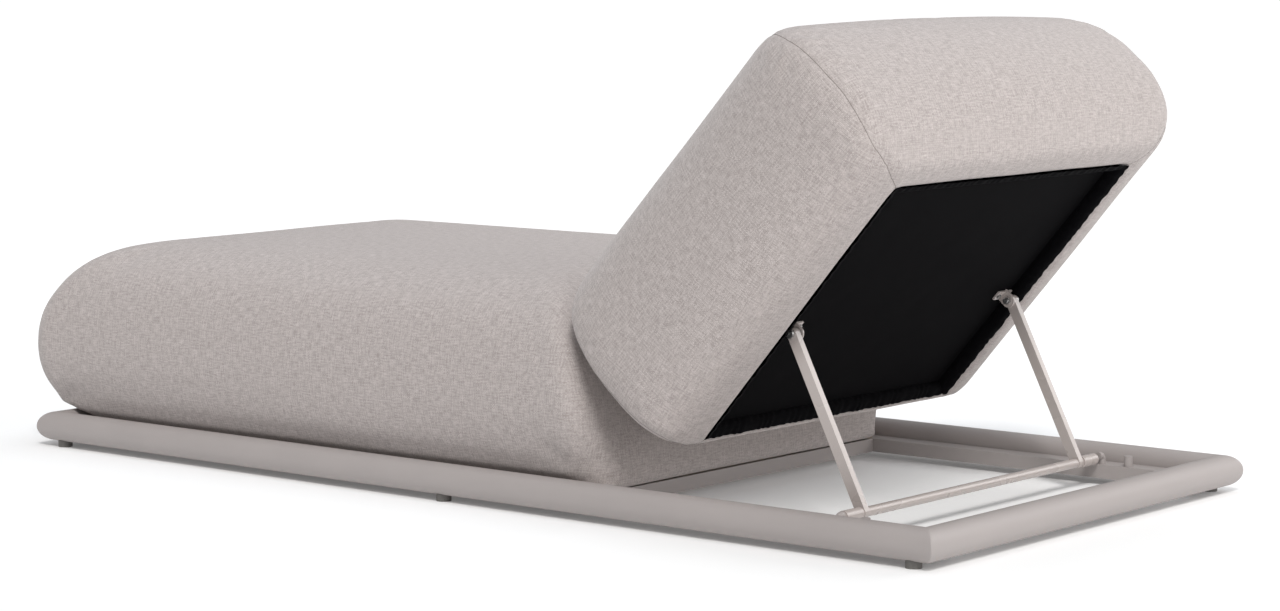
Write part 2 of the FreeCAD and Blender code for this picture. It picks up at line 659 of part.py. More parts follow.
cover_holes = []
bracket_screws = []
for side_name, side in SIDES.items():
    pivot = ("prop_along", "prop_depth")
    tab_middle = "(tab_inner + tab_outer) / 2"
    flange = block(("prop_along - bracket_flange_width / 2", "prop_along + bracket_flange_width / 2"),
                   (f"{tab_middle} - bracket_flange_length / 2", f"{tab_middle} + bracket_flange_length / 2"),
                   ("flange_bottom", "cover_recess"), side)
    tab = block(("prop_along - bracket_tab_width / 2", "prop_along + bracket_tab_width / 2"),
                ("tab_inner", "tab_outer"), ("prop_depth", "cover_recess"), side)
    round_end = rod("y", "bracket_tab_width / 2", ("tab_inner", "tab_outer"), pivot, side)
    holes = [rod("y", "pivot_diameter / 2 + fit_gap",
                 ("tab_inner - cut_overrun", "tab_outer + cut_overrun"), pivot, side)]
    for offset in ("-screw_spacing / 2", "screw_spacing / 2"):
        centre = ("prop_along", f"{tab_middle} + {offset}")
        head = rod("z", "screw_head_diameter / 2",
                   ("flange_bottom - screw_head_height", "flange_bottom"), centre, side)
        shank_span = ("flange_bottom - screw_head_height / 2", "panel_top - cover_thickness")
        shank = rod("z", "screw_diameter / 2", shank_span, centre, side)
        bracket_screws.append(joined([head, shank]))
        hole = rod("z", "screw_diameter / 2 + fit_gap", shank_span, centre, side)
        holes.append(hole)
        cover_holes.append(hole)
        panel_holes.append(hole)
    subpart(f"prop_bracket_{side_name}", without(joined([flange, tab, round_end]), holes), BACKREST)
    shank = rod("y", "pivot_diameter / 2",
                ("nut_inner - hinge_pin_end", "strut_outer + pivot_head_height / 2"), pivot, side)
    head_low = "strut_outer + running_gap"
    head = rod("y", "pivot_head_diameter / 2", (head_low, "strut_outer + pivot_head_height"), pivot, side)
    socket = rod("y", "pivot_head_diameter / 4",
                 ("strut_outer + pivot_head_height / 2", "strut_outer + pivot_head_height + cut_overrun"),
                 pivot, side)
    subpart(f"pivot_bolt_{side_name}", without(joined([shank, head]), [socket]), BACKREST)
    nut_body = doc.addObject("Part::Prism", "nut_body")
    nut_body.Polygon = 6
    nut_body.setExpression("Circumradius", bound("pivot_head_diameter / 2"))
    nut_body.setExpression("Height", bound("pivot_nut_height"))
    nut_body.Placement = FreeCAD.Placement(Vector(), TURNS["y"])
    place(nut_body, (pivot[0], mirrored(("nut_inner", "tab_inner"), side)[0], pivot[1]))
    nut_bore = rod("y", "pivot_diameter / 2 + fit_gap",
                   ("nut_inner - cut_overrun", "tab_inner + cut_overrun"), pivot, side)
    subpart(f"pivot_nut_{side_name}", without(nut_body, [nut_bore]), BACKREST)
    washer_span = ("tab_outer + running_gap", "strut_inner - running_gap")
    washer = without(rod("y", "pivot_washer_diameter / 2", washer_span, pivot, side),
                     [rod("y", "pivot_diameter / 2 + fit_gap",
                          ("tab_outer - cut_overrun", "strut_inner + cut_overrun"), pivot, side)])
    subpart(f"pivot_washer_{side_name}", washer, BACKREST)
subpart("prop_bracket_screws", bracket_screws, BACKREST)

subpart("backrest_dust_cover", without(cover, cover_holes), BACKREST)
subpart("backrest_board", without(panel, panel_holes), BACKREST)
backrest_form = formed("backrest_form", backrest_sections())
subpart("backrest_foam_core", without(back_core, arm_rooms()), BACKREST)
subpart("backrest_cushion", without(backrest_form, [opening, back_core] + arm_rooms()), BACKREST)


# Prop: two struts welded to a crossbar with sleeves, seen from its pivot along the struts

foot_centre = ("prop_length", "0")
for side_name, side in SIDES.items():
    strut_span = ("strut_inner", "strut_outer")
    bar = block(("0", "prop_length"), strut_span, ("-strut_width / 2", "strut_width / 2"), side)
    top = rod("y", "strut_width / 2", strut_span, ("0", "0"), side)
    toe = rod("y", "strut_width / 2", strut_span, foot_centre, side)
    hole_span = ("strut_inner - cut_overrun", "strut_outer + cut_overrun")
    pivot_hole = rod("y", "pivot_diameter / 2 + running_gap", hole_span, ("0", "0"), side)
    weld_hole = rod("y", "crossbar_diameter / 2 + fit_gap", hole_span, foot_centre, side)
    subpart(f"prop_strut_{side_name}", without(joined([bar, top, toe]), [pivot_hole, weld_hole]), PROP)
    sleeve_span = ("sleeve_outer - sleeve_length", "sleeve_outer")
    sleeve = without(rod("y", "sleeve_diameter / 2", sleeve_span, foot_centre, side),
                     [rod("y", "crossbar_diameter / 2 + fit_gap", ("0", "ledge_inner"), foot_centre, side)])
    subpart(f"prop_sleeve_{side_name}", sleeve, PROP)
crossbar = rod("y", "crossbar_diameter / 2", ("-crossbar_end", "crossbar_end"), foot_centre)
subpart("prop_crossbar", crossbar, PROP)


# Check every object, then write one file for each sub-part

doc.recompute()
for feature in doc.Objects:
    if "Invalid" in feature.State or "Error" in feature.State:
        raise RuntimeError(f"{feature.Name} ({feature.Label}) failed: {feature.State}")
os.makedirs("parts", exist_ok=True)
for feature in subparts:
    shape = feature.Shape
    if shape.isNull() or not shape.isValid() or not shape.Solids:
        raise RuntimeError(f"{feature.Label} has no valid solid")
    shape.exportStep(os.path.join("parts", f"{feature.Label}.step"))
print(f"{len(subparts)} sub-parts, hinge at {hinge_point}, prop pivot at {prop_pivot}")
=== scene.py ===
"""Sun lounger: its looks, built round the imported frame. All lengths are metres."""

import json
import math

import bpy
import numpy as np
from mathutils import Matrix, Vector, noise
from mathutils.bvhtree import BVHTree


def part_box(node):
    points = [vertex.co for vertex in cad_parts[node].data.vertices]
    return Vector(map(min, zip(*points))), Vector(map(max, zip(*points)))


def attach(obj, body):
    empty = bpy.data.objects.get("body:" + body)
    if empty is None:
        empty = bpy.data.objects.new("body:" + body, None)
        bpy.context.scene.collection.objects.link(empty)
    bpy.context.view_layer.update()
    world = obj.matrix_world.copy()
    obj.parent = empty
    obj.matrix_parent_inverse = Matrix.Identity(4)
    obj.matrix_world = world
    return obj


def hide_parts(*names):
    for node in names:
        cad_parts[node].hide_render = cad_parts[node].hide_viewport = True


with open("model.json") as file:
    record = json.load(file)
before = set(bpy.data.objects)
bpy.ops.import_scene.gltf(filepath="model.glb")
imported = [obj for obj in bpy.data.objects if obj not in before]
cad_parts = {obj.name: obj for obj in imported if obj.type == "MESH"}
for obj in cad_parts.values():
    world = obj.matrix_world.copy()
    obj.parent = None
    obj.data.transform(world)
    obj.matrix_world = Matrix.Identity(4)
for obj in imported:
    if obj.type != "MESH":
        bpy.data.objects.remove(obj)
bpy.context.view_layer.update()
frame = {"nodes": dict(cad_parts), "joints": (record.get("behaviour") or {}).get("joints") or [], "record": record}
scene = bpy.context.scene
joints = {joint["name"]: joint for joint in frame["joints"]}

MILLIMETRE = 0.001
BACKREST_ANGLE = math.radians(49.1)
FRONT_TAPER_ANGLE = math.radians(2.0)

hinge = Vector(joints["backrest_recline"]["pos_m"])
BASE = Matrix.Identity(4)
BACKREST = Matrix.Translation(hinge) @ Matrix.Rotation(-BACKREST_ANGLE, 4, "Y")


# Measuring and mesh helpers

def local_box(node, place):
    """Lowest and highest corners of a node in a body's own axes."""
    inverse = place.inverted()
    points = np.array([inverse @ vertex.co for vertex in frame["nodes"][node].data.vertices])
    return Vector(points.min(0)), Vector(points.max(0))


def vectors(items, key):
    """A vector of each item, as rows of an array."""
    flat = np.empty(len(items) * 3, np.float32)
    items.foreach_get(key, flat)
    return flat.reshape(-1, 3).astype(float)


def coordinates(mesh):
    """The mesh's points as an array."""
    return vectors(mesh.vertices, "co")


def normals(mesh):
    """The mesh's point normals as an array."""
    return vectors(mesh.vertex_normals, "vector")


def set_coordinates(mesh, points):
    """Moves the mesh's points."""
    mesh.vertices.foreach_set("co", points.astype(np.float32).ravel())
    mesh.update()


def new_piece(name, points, faces, place):
    """A smooth mesh object in a body's own axes."""
    mesh = bpy.data.meshes.new(name)
    mesh.from_pydata([tuple(point) for point in points], [], faces)
    mesh.validate()
    mesh.shade_smooth()
    piece = bpy.data.objects.new(name, mesh)
    piece.matrix_world = place
    scene.collection.objects.link(piece)
    return piece


def quads(row_count, point_count, rings=False, loop=False):
    """Quads between rows of points; the rows may be rings, and the last may join the first in a loop."""
    faces = []
    for row in range(row_count if loop else row_count - 1):
        here = row * point_count
        there = (row + 1) % row_count * point_count
        for point in range(point_count if rings else point_count - 1):
            following = (point + 1) % point_count
            faces.append((here + point, here + following, there + following, there + point))
    return faces


def filled_rows(rows, count):
    """A smooth run of rows through the given ones, evenly spaced along the way."""
    rows = np.array(rows, float)
    knots = np.concatenate(([0], np.cumsum(np.linalg.norm(np.diff(rows, axis=0), axis=1))))
    slopes = np.gradient(rows, knots, axis=0)
    filled = []
    for at in np.linspace(0, knots[-1], count):
        index = min(max(np.searchsorted(knots, at) - 1, 0), len(rows) - 2)
        gap = knots[index + 1] - knots[index]
        part = (at - knots[index]) / gap
        start_weight = 2 * part ** 3 - 3 * part ** 2 + 1
        end_weight = 1 - start_weight
        leave_weight = part ** 3 - 2 * part ** 2 + part
        arrive_weight = part ** 3 - part ** 2
        filled.append(start_weight * rows[index] + end_weight * rows[index + 1]
                      + gap * (leave_weight * slopes[index] + arrive_weight * slopes[index + 1]))
    return filled


CORNER_STEPS = 10
SIDE_STEPS = 24


def rounded_ring(low, high, half, low_corner, high_corner):
    """Points round a rectangle with round corners; the corner at each quarter is found by CORNER_AT."""
    corners = (
        (low + low_corner, -half + low_corner, low_corner, math.pi),
        (high - high_corner, -half + high_corner, high_corner, 1.5 * math.pi),
        (high - high_corner, half - high_corner, high_corner, 0.0),
        (low + low_corner, half - low_corner, low_corner, 0.5 * math.pi),
    )
    arcs = []
    for x, y, radius, start in corners:
        turns = np.linspace(start, start + 0.5 * math.pi, CORNER_STEPS + 1)
        arcs.append(np.column_stack((x + radius * np.cos(turns), y + radius * np.sin(turns))))
    points = []
    for arc, following in zip(arcs, arcs[1:] + arcs[:1]):
        points.extend(arc)
        run = np.linspace(arc[-1], following[0], SIDE_STEPS + 1)
        points.extend(run[1:-1])
    return np.array(points)


RING_POINTS = 4 * (CORNER_STEPS + SIDE_STEPS)
CORNER_AT = [quarter * (CORNER_STEPS + SIDE_STEPS) + CORNER_STEPS // 2 for quarter in range(4)]


# Soft forms

def lofted(name, rings, place):
    """A closed skin through the rings, capped at both ends."""
    points = np.concatenate(rings)
    faces = quads(len(rings), RING_POINTS, rings=True)
    last = (len(rings) - 1) * RING_POINTS
    faces.append(tuple(reversed(range(RING_POINTS))))
    faces.append(tuple(range(last, last + RING_POINTS)))
    return new_piece(name, points, faces, place)


def apply_modifiers(piece):
    """Bakes the piece's modifiers into its mesh."""
    graph = bpy.context.evaluated_depsgraph_get()
    mesh = bpy.data.meshes.new_from_object(piece.evaluated_get(graph))
    old = piece.data
    piece.modifiers.clear()
    piece.data = mesh
    bpy.data.meshes.remove(old)
    mesh.name = piece.name
    mesh.shade_smooth()


EASE_SHARE = 0.5
EASE_ROUNDS = 4


def remeshed(piece, voxel):
    """Gives the skin an even mesh and eases the steps that this leaves."""
    remesh = piece.modifiers.new("even", "REMESH")
    remesh.mode = "VOXEL"
    remesh.voxel_size = voxel
    ease = piece.modifiers.new("ease", "SMOOTH")
    ease.factor = EASE_SHARE
    ease.iterations = EASE_ROUNDS
    apply_modifiers(piece)


def subdivided(piece, levels=1):
    """Makes the mesh finer and rounder."""
    finer = piece.modifiers.new("finer", "SUBSURF")
    finer.levels = levels
    finer.render_levels = levels
    apply_modifiers(piece)


SWELL_PRESSURE = 4.0
SWELL_FRAMES = 20
LEAST_HOLD_SHARE = 0.01

# Keeps points that didn't move from dividing by zero
LEAST_SHIFT = 1e-9


def swell(piece, held, cap):
    """Lets the cover puff out under pressure, held where it is sewn, by no more than the cap."""
    rest = coordinates(piece.data)
    group = piece.vertex_groups.new(name="held")
    for index in np.nonzero(held > LEAST_HOLD_SHARE)[0]:
        group.add([int(index)], float(held[index]), "REPLACE")
    cloth = piece.modifiers.new("swell", "CLOTH")
    cloth.settings.vertex_group_mass = group.name
    cloth.settings.use_pressure = True
    cloth.settings.uniform_pressure_force = SWELL_PRESSURE
    cloth.settings.effector_weights.gravity = 0
    cloth.point_cache.frame_start = 1
    cloth.point_cache.frame_end = SWELL_FRAMES
    for number in range(1, SWELL_FRAMES + 1):
        scene.frame_set(number)
    graph = bpy.context.evaluated_depsgraph_get()
    moved = coordinates(piece.evaluated_get(graph).data)
    piece.modifiers.clear()
    piece.vertex_groups.clear()
    scene.frame_set(1)
    shift = moved - rest
    reach = np.linalg.norm(shift, axis=1, keepdims=True)
    shift *= cap * np.tanh(reach / cap) / np.maximum(reach, LEAST_SHIFT)
    set_coordinates(piece.data, rest + shift)


WAVE_DEPTH = 1.2 * MILLIMETRE


def uneven(piece, wave_length):
    """Slight waves in the padding."""
    points = coordinates(piece.data)
    waves = np.array([noise.noise(Vector(point) / wave_length) for point in points])
    set_coordinates(piece.data, points + normals(piece.data) * (waves * WAVE_DEPTH)[:, None])


# Keeps equal points of a path from dividing by zero
LEAST_SQUARE = 1e-12


def distance_to_path(points, path):
    """How far each point is from a path of close points."""
    nearest = np.full(len(points), np.inf)
    for start, end in zip(path[:-1], path[1:]):
        run = end - start
        part = np.clip(((points - start) @ run) / max(run @ run, LEAST_SQUARE), 0, 1)
        nearest = np.minimum(nearest, np.linalg.norm(points - start - part[:, None] * run, axis=1))
    return nearest


SEAM_WIDTH = 5 * MILLIMETRE
SEAM_DEPTH = 1.6 * MILLIMETRE


def sewn(piece, paths):
    """Draws the skin in along its seams."""
    points = coordinates(piece.data)
    pull = np.zeros(len(points))
    for path in paths:
        pull = np.maximum(pull, np.exp(-(distance_to_path(points, path) / SEAM_WIDTH) ** 2))
    set_coordinates(piece.data, points - normals(piece.data) * (pull * SEAM_DEPTH)[:, None])


def laid_on(piece, path):
    """The path moved onto the piece's skin."""
    tree = BVHTree.FromObject(piece, bpy.context.evaluated_depsgraph_get())
    laid = []
    for point in path:
        laid.append(tree.find_nearest(Vector(point))[0])
    return laid


THREAD_RADIUS = 0.55 * MILLIMETRE
THREAD_ROUNDNESS = 2


def thread(name, path, place):
    """A fine tube along a path, for the stitched line of a seam."""
    curve = bpy.data.curves.new(name, "CURVE")
    curve.dimensions = "3D"
    curve.bevel_depth = THREAD_RADIUS
    curve.bevel_resolution = THREAD_ROUNDNESS
    spline = curve.splines.new("POLY")
    spline.points.add(len(path) - 1)
    for point, target in zip(spline.points, path):
        point.co = (*(place @ target), 1.0)
    piece = bpy.data.objects.new(name, curve)
    scene.collection.objects.link(piece)
    return piece


# Materials

def material(name):
    """A new node material and its main shader."""
    made = bpy.data.materials.new(name)
    made.use_nodes = True
    return made, made.node_tree, made.node_tree.nodes["Principled BSDF"]


def add(tree, kind, links=(), **values):
    """A node with some properties set and some inputs given as values or sockets."""
    node = tree.nodes.new(kind)
    for key, value in values.items():
        setattr(node, key, value)
    for key, value in links:
        if isinstance(value, bpy.types.NodeSocket):
            tree.links.new(value, node.inputs[key])
        else:
            node.inputs[key].default_value = value
    return node


def maths(tree, operation, first, second=0.0):
    """One sum on two values or sockets."""
    return add(tree, "ShaderNodeMath", ((0, first), (1, second)), operation=operation).outputs[0]


def blended(tree, factor, first, second):
    """A colour between two."""
    mix = add(tree, "ShaderNodeMix", (("Factor", factor),), data_type="RGBA")
    for socket, value in ((mix.inputs[6], first), (mix.inputs[7], second)):
        if isinstance(value, bpy.types.NodeSocket):
            tree.links.new(value, socket)
        else:
            socket.default_value = value
    return mix.outputs[2]


def noise_value(tree, vector, scale, detail=2.0, roughness=0.5):
    """A noise texture's value."""
    return add(tree, "ShaderNodeTexNoise", (("Vector", vector), ("Scale", scale), ("Detail", detail),
                                            ("Roughness", roughness))).outputs["Fac"]


def object_spot(tree):
    """The place on the object."""
    return tree.nodes.new("ShaderNodeTexCoord").outputs["Object"]


def stretched_spot(tree, scale):
    """The place on the object, scaled along each axis."""
    return add(tree, "ShaderNodeMapping", (("Vector", object_spot(tree)), ("Scale", scale))).outputs[0]


FULL_RANGE = (0.0, 1.0)


def ranged(tree, value, source, target):
    """A value moved from one range into another."""
    limits = ((0, value), (1, source[0]), (2, source[1]), (3, target[0]), (4, target[1]))
    return add(tree, "ShaderNodeMapRange", limits).outputs[0]


def painted(tree, shader, factor, first, second):
    """Gives the shader a colour between two."""
    tree.links.new(blended(tree, factor, first, second), shader.inputs["Base Color"])


def bumped(tree, shader, height, strength, depth):
    """Gives the shader a fine relief."""
    bump = add(tree, "ShaderNodeBump", (("Height", height), ("Strength", strength), ("Distance", depth)))
    tree.links.new(bump.outputs[0], shader.inputs["Normal"])


def set_inputs(shader, values):
    """Sets constants on the shader's own sockets."""
    for name, value in values.items():
        shader.inputs[name].default_value = value


# Woven cloth

SLUB_SHARE = 0.13
YARN_SHARE = 0.85
EDGE_SHARPNESS = 8.0


def weave_group():
    """Tone and height of a plain weave: warp and weft yarns on top by turns, each uneven along its run."""
    group = bpy.data.node_groups.new("weave", "ShaderNodeTree")
    for name in ("Across", "Along", "Pitch"):
        group.interface.new_socket(name, in_out="INPUT", socket_type="NodeSocketFloat")
    for name in ("Streak", "Height"):
        group.interface.new_socket(name, in_out="OUTPUT", socket_type="NodeSocketFloat")
    start = group.nodes.new("NodeGroupInput")
    end = group.nodes.new("NodeGroupOutput")
    across = maths(group, "DIVIDE", start.outputs["Across"], start.outputs["Pitch"])
    along = maths(group, "DIVIDE", start.outputs["Along"], start.outputs["Pitch"])
    warp = maths(group, "FLOOR", across)
    weft = maths(group, "FLOOR", along)
    tones = []
    for side, run in ((across, along), (along, across)):
        spot = add(group, "ShaderNodeCombineXYZ", (("X", maths(group, "MULTIPLY", side, YARN_SHARE)),
                                                   ("Y", maths(group, "MULTIPLY", run, SLUB_SHARE))))
        tones.append(noise_value(group, spot.outputs[0], scale=1.0, detail=1.0))
    weft_on_top = maths(group, "FLOORED_MODULO", maths(group, "ADD", warp, weft), 2.0)
    step = maths(group, "MULTIPLY", weft_on_top, maths(group, "SUBTRACT", tones[1], tones[0]))
    streak = maths(group, "ADD", tones[0], step)
    waves = []
    for value in (across, along):
        wave = maths(group, "SINE", maths(group, "MULTIPLY", value, math.pi))
        waves.append(maths(group, "ABSOLUTE", wave))
    height = maths(group, "MULTIPLY", waves[0], waves[1])
    group.links.new(streak, end.inputs["Streak"])
    group.links.new(height, end.inputs["Height"])
    return group


WEAVE = weave_group()


def woven(tree, pitch):
    """Place, streak and height of a weave on all sides of a form, eased over its edges."""
    lie = add(tree, "ShaderNodeAttribute", attribute_name="lie").outputs["Vector"]
    turned = add(tree, "ShaderNodeAttribute", attribute_name="facing").outputs["Vector"]
    spot = add(tree, "ShaderNodeSeparateXYZ", ((0, lie),)).outputs
    facing = add(tree, "ShaderNodeSeparateXYZ", ((0, turned),)).outputs
    weights = [maths(tree, "POWER", maths(tree, "ABSOLUTE", facing[axis]), EDGE_SHARPNESS) for axis in "XYZ"]
    total = maths(tree, "ADD", maths(tree, "ADD", weights[0], weights[1]), weights[2])
    streak = height = None
    for (across, along), weight in zip((("Y", "Z"), ("X", "Z"), ("X", "Y")), weights):
        cloth = add(tree, "ShaderNodeGroup", node_tree=WEAVE)
        tree.links.new(spot[across], cloth.inputs["Across"])
        tree.links.new(spot[along], cloth.inputs["Along"])
        cloth.inputs["Pitch"].default_value = pitch
        share = maths(tree, "DIVIDE", weight, total)
        parts = [maths(tree, "MULTIPLY", share, cloth.outputs[name]) for name in ("Streak", "Height")]
        streak = parts[0] if streak is None else maths(tree, "ADD", streak, parts[0])
        height = parts[1] if height is None else maths(tree, "ADD", height, parts[1])
    return lie, streak, height


CLOTH_PITCH = 2.3 * MILLIMETRE
CLOTH_RELIEF = 0.6 * MILLIMETRE
CLOTH_DARK = (0.235, 0.200, 0.190, 1)
CLOTH_LIGHT = (0.640, 0.584, 0.566, 1)
CLOTH_CLOUDED = (0.40, 0.36, 0.34, 1)
CLOTH_TONES = (0.34, 0.66)
CLOTH_STREAK_SHARE = 0.46
CLOTH_YARN_GAP_SHADE_SHARE = 0.14
CLOTH_SPECKLE_SHARE = 0.44
CLOTH_CLOUD_SHARE = 0.16
CLOTH_SLUB_RELIEF_SHARE = 0.8
CLOTH_SURFACE = {
    "Roughness": 0.92,
    "Specular IOR Level": 0.25,
    "Sheen Weight": 0.22,
    "Sheen Roughness": 0.45,
}


def upholstery():
    """Light warm grey cloth with uneven yarns and painted shade in the gaps between them."""
    made, tree, shader = material("upholstery_cloth")
    spot, streak, height = woven(tree, CLOTH_PITCH)
    tone = ranged(tree, streak, CLOTH_TONES, FULL_RANGE)
    speckle = noise_value(tree, spot, scale=300.0, detail=3.0, roughness=0.75)
    cloud = noise_value(tree, spot, scale=5.0, detail=3.0)
    # The weave's height lightens the crowns of the yarns and darkens the gaps between them: painted shade between
    # the yarns.
    mixed = maths(tree, "ADD", maths(tree, "MULTIPLY", tone, CLOTH_STREAK_SHARE),
                  maths(tree, "MULTIPLY", height, CLOTH_YARN_GAP_SHADE_SHARE))
    mixed = maths(tree, "ADD", mixed, maths(tree, "MULTIPLY", speckle, CLOTH_SPECKLE_SHARE))
    colour = blended(tree, mixed, CLOTH_DARK, CLOTH_LIGHT)
    painted(tree, shader, maths(tree, "MULTIPLY", cloud, CLOTH_CLOUD_SHARE), colour, CLOTH_CLOUDED)
    set_inputs(shader, CLOTH_SURFACE)
    relief = maths(tree, "ADD", height, maths(tree, "MULTIPLY", streak, CLOTH_SLUB_RELIEF_SHARE))
    bumped(tree, shader, relief, strength=0.55, depth=CLOTH_RELIEF)
    return made


LINING_PITCH = 1.8 * MILLIMETRE
LINING_RELIEF = 0.4 * MILLIMETRE
LINING_DARK = (0.0010, 0.0009, 0.0013, 1)
LINING_LIGHT = (0.0040, 0.0036, 0.0046, 1)
LINING_STREAK_SHARE = 0.5
LINING_SURFACE = {"Roughness": 0.8, "Specular IOR Level": 0.04}


def dust_cloth():
    """Thin black lining cloth."""
    made, tree, shader = material("dust_cloth")
    streak, height = woven(tree, LINING_PITCH)[1:]
    painted(tree, shader, maths(tree, "MULTIPLY", streak, LINING_STREAK_SHARE), LINING_DARK, LINING_LIGHT)
    set_inputs(shader, LINING_SURFACE)
    bumped(tree, shader, height, strength=0.4, depth=LINING_RELIEF)
    return made


THREAD_DARK = (0.15, 0.13, 0.12, 1)
THREAD_LIGHT = (0.30, 0.27, 0.25, 1)


def seam_thread():
    """Dark stitched thread."""
    made, tree, shader = material("seam_thread")
    painted(tree, shader, noise_value(tree, object_spot(tree), scale=500.0), THREAD_DARK, THREAD_LIGHT)
    shader.inputs["Roughness"].default_value = 0.9
    return made


# Metal, plastic, wood and foam

COAT_RELIEF = 0.3 * MILLIMETRE
COAT_DARK_SHARE = 0.88
COAT_LIGHT_SHARE = 1.06
COAT_CLOUD_SHARE = 0.7
COAT_FINE_SHARE = 0.3
COAT_CLOUD_RANGE = (0.3, 0.7)
COAT_ROUGHNESS_STEP = 0.06


def coated(name, colour, roughness, grain, shine=0.5):
    """Powder-coated metal with a fine orange peel and slight rubbed patches."""
    made, tree, shader = material(name)
    spot = object_spot(tree)
    cloud = noise_value(tree, spot, scale=9.0, detail=4.0)
    fine = noise_value(tree, spot, scale=900.0)
    darker = tuple(COAT_DARK_SHARE * value for value in colour) + (1,)
    lighter = tuple(min(1.0, COAT_LIGHT_SHARE * value) for value in colour) + (1,)
    shade = maths(tree, "ADD", maths(tree, "MULTIPLY", cloud, COAT_CLOUD_SHARE),
                  maths(tree, "MULTIPLY", fine, COAT_FINE_SHARE))
    painted(tree, shader, shade, darker, lighter)
    limits = (roughness - COAT_ROUGHNESS_STEP, roughness + COAT_ROUGHNESS_STEP)
    tree.links.new(ranged(tree, cloud, COAT_CLOUD_RANGE, limits), shader.inputs["Roughness"])
    shader.inputs["Specular IOR Level"].default_value = shine
    bumped(tree, shader, noise_value(tree, spot, grain), strength=0.12, depth=COAT_RELIEF)
    return made


STEEL_BRUSHING = (300.0, 4000.0, 300.0)
STEEL_DARK = (0.42, 0.42, 0.42, 1)
STEEL_LIGHT = (0.68, 0.67, 0.66, 1)
STEEL_ROUGHNESS = (0.25, 0.45)


def bare_steel():
    """Brushed stainless fasteners."""
    made, tree, shader = material("fastener_steel")
    lines = noise_value(tree, stretched_spot(tree, STEEL_BRUSHING), scale=1.0)
    painted(tree, shader, lines, STEEL_DARK, STEEL_LIGHT)
    tree.links.new(ranged(tree, lines, FULL_RANGE, STEEL_ROUGHNESS), shader.inputs["Roughness"])
    shader.inputs["Metallic"].default_value = 1.0
    return made


PLASTIC_RELIEF = 0.2 * MILLIMETRE
PLASTIC_DARK = (0.10, 0.095, 0.09, 1)
PLASTIC_LIGHT = (0.17, 0.16, 0.15, 1)
PLASTIC_ROUGHNESS = (0.45, 0.65)


def moulded():
    """Grey moulded plastic glides with a scuffed skin."""
    made, tree, shader = material("glide_plastic")
    grain = noise_value(tree, object_spot(tree), scale=700.0, detail=3.0)
    painted(tree, shader, grain, PLASTIC_DARK, PLASTIC_LIGHT)
    tree.links.new(ranged(tree, grain, FULL_RANGE, PLASTIC_ROUGHNESS), shader.inputs["Roughness"])
    bumped(tree, shader, grain, strength=0.2, depth=PLASTIC_RELIEF)
    return made


WOOD_STRETCH = (4.0, 60.0, 60.0)
WOOD_RELIEF = 0.4 * MILLIMETRE
WOOD_DARK = (0.34, 0.22, 0.12, 1)
WOOD_LIGHT = (0.58, 0.43, 0.27, 1)


def plywood():
    """Birch plywood with stretched grain."""
    made, tree, shader = material("plywood")
    grain = noise_value(tree, stretched_spot(tree, WOOD_STRETCH), scale=1.0, detail=5.0, roughness=0.6)
    painted(tree, shader, grain, WOOD_DARK, WOOD_LIGHT)
    shader.inputs["Roughness"].default_value = 0.7
    bumped(tree, shader, grain, strength=0.25, depth=WOOD_RELIEF)
    return made


FOAM_RELIEF = 1 * MILLIMETRE
FOAM_CELLS_PER_METRE = 400.0
FOAM_DARK = (0.52, 0.47, 0.36, 1)
FOAM_LIGHT = (0.80, 0.76, 0.64, 1)


def foam():
    """Pale open-cell foam."""
    made, tree, shader = material("foam")
    pattern = (("Vector", object_spot(tree)), ("Scale", FOAM_CELLS_PER_METRE))
    cells = add(tree, "ShaderNodeTexVoronoi", pattern).outputs["Distance"]
    painted(tree, shader, cells, FOAM_DARK, FOAM_LIGHT)
    shader.inputs["Roughness"].default_value = 0.95
    bumped(tree, shader, cells, strength=0.5, depth=FOAM_RELIEF)
    return made


FRAME_COLOUR = (0.388, 0.352, 0.342)
PROP_COLOUR = (0.470, 0.416, 0.394)
HINGE_COLOUR = (0.07, 0.07, 0.07)
FINISHES = {
    "upholstery": upholstery(),
    "dust_cloth": dust_cloth(),
    "frame_coat": coated("frame_powder_coat", FRAME_COLOUR, roughness=0.52, grain=700.0),
    "prop_coat": coated("prop_powder_coat", PROP_COLOUR, roughness=0.28, grain=900.0, shine=0.9),
    "hinge_steel": coated("hinge_paint", HINGE_COLOUR, roughness=0.45, grain=900.0),
    "fastener": bare_steel(),
    "glide": moulded(),
    "board": plywood(),
    "foam": foam(),
}


def settle(piece):
    """Turns a piece into the part's own axes and keeps how its cloth lies as attributes."""
    mesh = piece.data
    for name, values in (("lie", coordinates(mesh)), ("facing", normals(mesh))):
        mesh.attributes.new(name, "FLOAT_VECTOR", "POINT").data.foreach_set("vector", values.ravel())
    mesh.transform(piece.matrix_world)
    piece.matrix_world = BASE


def finish(piece, slot, body):
    """Gives a new piece the material of the slot and the body that it moves with."""
    settle(piece)
    piece.data.materials.clear()
    piece.data.materials.append(FINISHES[slot])
    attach(piece, body)
    return piece


# Materials and softened edges of the nodes that stay

EDGE_WIDTHS = {"frame_coat": 1.2 * MILLIMETRE, "prop_coat": 1.0 * MILLIMETRE, "glide": 0.8 * MILLIMETRE}
EDGE_ANGLE = math.radians(40)
EDGE_SEGMENTS = 2

for row in frame["record"]["subparts"]:
    node = frame["nodes"][row["node"]]
    slot = row["material_slot"]
    node.data.materials.clear()
    node.data.materials.append(FINISHES[slot])
    if slot in EDGE_WIDTHS:
        edge = node.modifiers.new("soft_edges", "BEVEL")
        edge.width = EDGE_WIDTHS[slot]
        edge.segments = EDGE_SEGMENTS
        edge.limit_method = "ANGLE"
        edge.angle_limit = EDGE_ANGLE


# Tube frame: one welded ring with softened mitres

TUBE_POINTS = 32
TUBE_FINENESS = 2
MITRE_SHARES = (0.12, 0.4)
RUN_SHARES = (0.1, 0.3, 0.5, 0.7, 0.9)


